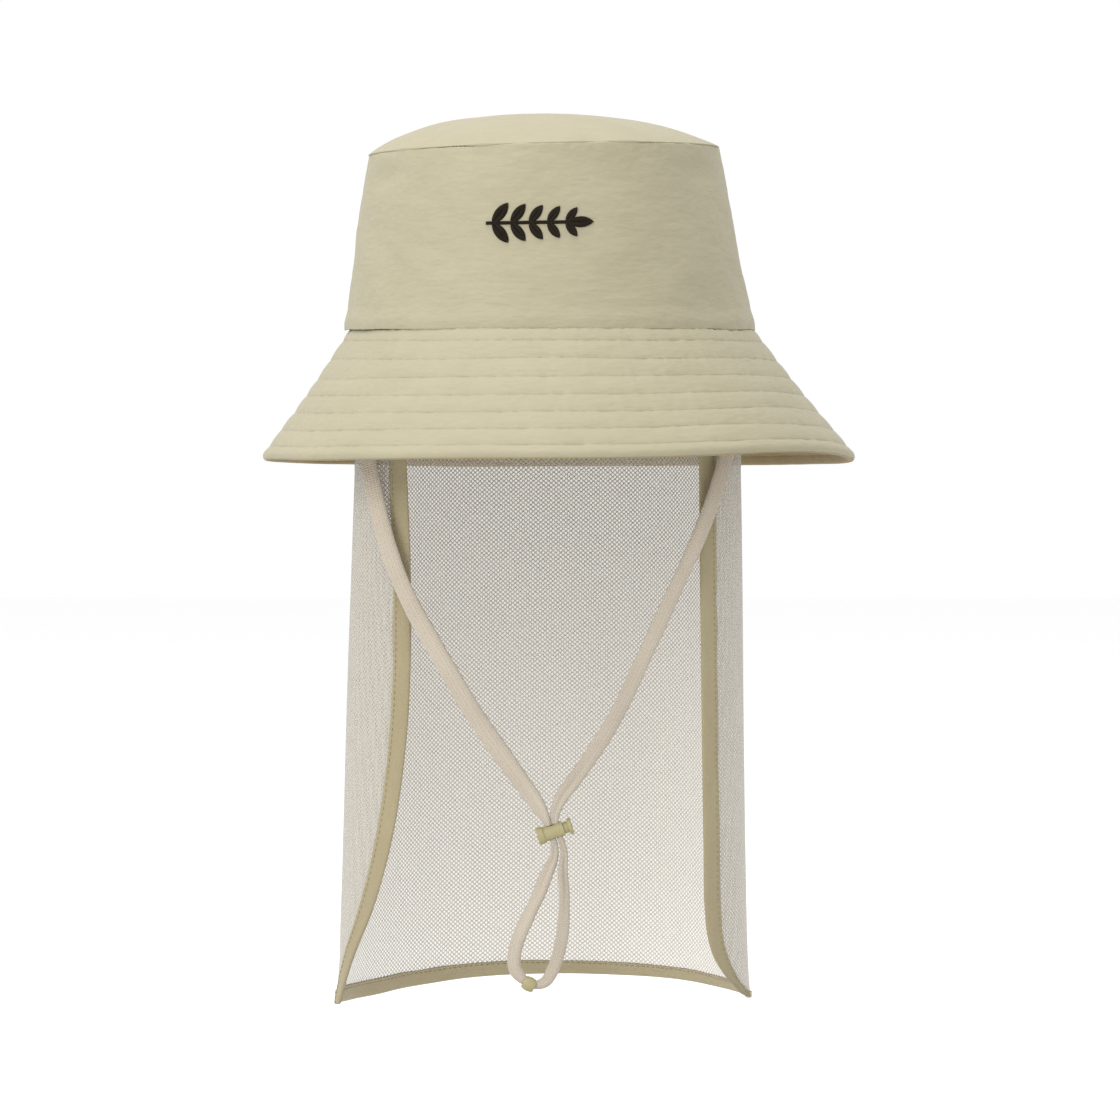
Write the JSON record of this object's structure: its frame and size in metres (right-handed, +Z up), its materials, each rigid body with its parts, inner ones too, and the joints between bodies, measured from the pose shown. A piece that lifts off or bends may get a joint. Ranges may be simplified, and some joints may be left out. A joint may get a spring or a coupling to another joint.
{
  "type": "bucket hat with mesh neck flap",
  "caption": "Bucket hat with a quilted brim, see-through mesh neck flap with bound edges, and a chin cord with a sprung cord lock and end bead.",
  "frame": {"origin": "centre of the head opening, in the plane where the crown meets the brim", "axes": "+Z up, towards the crown; the front of the hat faces -Y; +X is the wearer's left side"},
  "size_m": [0.2576, 0.275, 0.3859],
  "materials": {
    "nylon_shell": "satin",
    "nylon_under": "matte",
    "lining_cloth": "matte",
    "sweatband_cloth": "matte",
    "interlining": "matte",
    "mesh_cloth": "matte",
    "binding_tape": "matte",
    "knitted_cord": "matte",
    "lock_plastic": "satin",
    "spring_steel": "satin",
    "black_thread": "satin",
    "label_cloth": "matte"
  },
  "bodies": {
    "hat": {"crown_top_panel": "nylon_shell", "crown_front_panel": "nylon_shell", "crown_back_panel": "nylon_shell", "crown_lining_top": "lining_cloth", "crown_lining_side": "lining_cloth", "sweatband": "sweatband_cloth", "brim_upper_front": "nylon_shell", "brim_upper_back": "nylon_shell", "brim_interlining": "interlining", "brim_lower_front": "nylon_under", "brim_lower_back": "nylon_under", "front_embroidery": "black_thread", "care_label": "label_cloth", "cord_anchor_left": "binding_tape", "cord_anchor_right": "binding_tape", "chin_cord_left_upper": "knitted_cord", "chin_cord_right_upper": "knitted_cord", "chin_cord_left_lower": "knitted_cord", "chin_cord_right_lower": "knitted_cord", "cord_end_bead": "lock_plastic"},
    "flap": {"flap_mesh_panel": "mesh_cloth", "flap_binding_left": "binding_tape", "flap_binding_right": "binding_tape", "flap_hem_binding": "binding_tape", "flap_header_tape": "binding_tape"},
    "cord_lock": {"lock_barrel": "lock_plastic", "lock_spring": "spring_steel"},
    "lock_plunger_body": {"lock_plunger": "lock_plastic"}
  },
  "joints": [
    {"name": "flap_lift", "type": "hinge", "parent": "hat", "child": "flap", "pos_m": [0, 0.098, 0], "axis": [1, 0, 0], "range_deg": [0, 15], "stiffness_Nm_per_rad": 0.6, "springref_deg": -8.59},
    {"name": "lock_slide", "type": "slide", "parent": "hat", "child": "cord_lock", "axis": [0, 0, 1], "range_m": [-0.045, 0.06], "deforming": ["chin_cord_left_upper", "chin_cord_right_upper", "chin_cord_left_lower", "chin_cord_right_lower"]},
    {"name": "plunger_press", "type": "slide", "parent": "cord_lock", "child": "lock_plunger_body", "axis": [-0.9511, 0, -0.309], "range_m": [0, 0.0018], "stiffness_N_per_m": 1500, "springref_m": -0.0015, "deforming": ["lock_spring"]}
  ]
}
